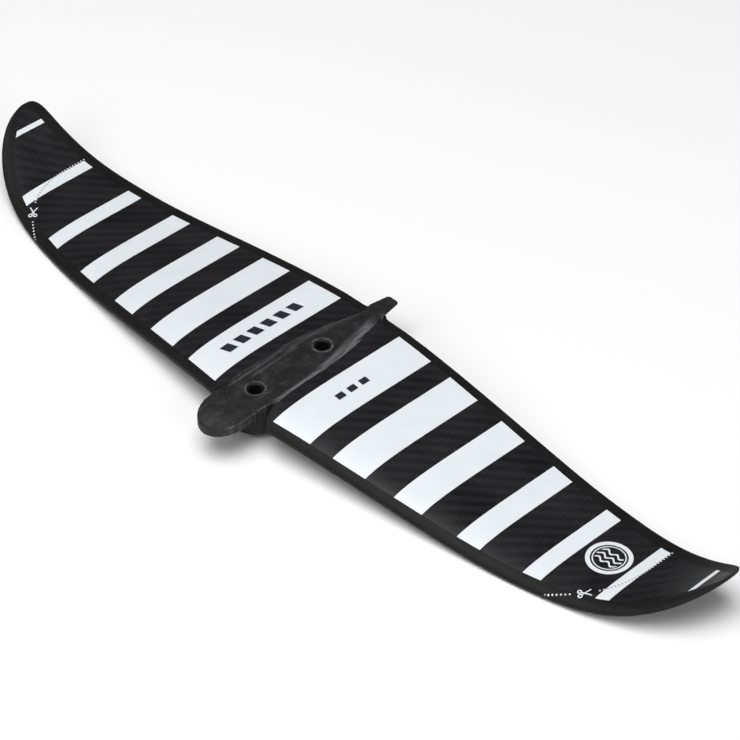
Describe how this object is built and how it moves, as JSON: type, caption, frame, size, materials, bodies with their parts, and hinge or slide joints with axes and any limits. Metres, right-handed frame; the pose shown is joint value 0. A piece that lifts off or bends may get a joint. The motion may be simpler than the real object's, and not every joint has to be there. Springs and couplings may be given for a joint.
{
  "type": "hydrofoil tail wing",
  "caption": "Carbon hydrofoil tail wing with drooped halves, upturned tips and a narrow central seat that takes two screws.",
  "frame": {"origin": "on the seat face, midway between the two screw holes", "axes": "+X toward the nose, +Y toward the left tip, +Z out of the seat face"},
  "size_m": [0.1038, 0.3998, 0.023],
  "materials": {
    "bare_carbon": "matt bare moulded carbon",
    "sleeve_metal": "dull metal",
    "laminate": "dense fibre laminate",
    "spar_carbon": "unidirectional carbon",
    "woven_carbon": "clear-coated twill carbon",
    "core_foam": "closed-cell foam",
    "rim_carbon": "smooth satin carbon",
    "white_print": "satin white print",
    "dark_print": "satin dark print"
  },
  "bodies": {
    "root": {"mount_pod": "bare_carbon", "lower_fairing": "bare_carbon", "front_screw_sleeve": "sleeve_metal", "rear_screw_sleeve": "sleeve_metal", "hub_block_front": "laminate", "hub_block_rear": "laminate", "upper_spar_cap": "spar_carbon", "lower_spar_cap": "spar_carbon", "spar_web": "spar_carbon", "upper_skin_left": "woven_carbon", "upper_skin_right": "woven_carbon", "lower_skin_left": "woven_carbon", "lower_skin_right": "woven_carbon", "tip_left": "woven_carbon", "tip_right": "woven_carbon", "front_core_left": "core_foam", "front_core_right": "core_foam", "rear_core_left": "core_foam", "rear_core_right": "core_foam", "leading_edge_left": "rim_carbon", "leading_edge_right": "rim_carbon", "trailing_edge_left": "rim_carbon", "trailing_edge_right": "rim_carbon", "stripe_left_1": "white_print", "stripe_left_2": "white_print", "stripe_left_3": "white_print", "stripe_left_4": "white_print", "stripe_left_5": "white_print", "stripe_left_6": "white_print", "stripe_left_7": "white_print", "stripe_right_1": "white_print", "stripe_right_2": "white_print", "stripe_right_3": "white_print", "stripe_right_4": "white_print", "stripe_right_5": "white_print", "stripe_right_6": "white_print", "stripe_right_7": "white_print", "cut_line_left": "white_print", "cut_line_right": "white_print", "cut_mark_left": "white_print", "cut_mark_right": "white_print", "badge": "white_print", "stripe_mark_left": "dark_print", "stripe_mark_right": "dark_print"}
  },
  "joints": []
}
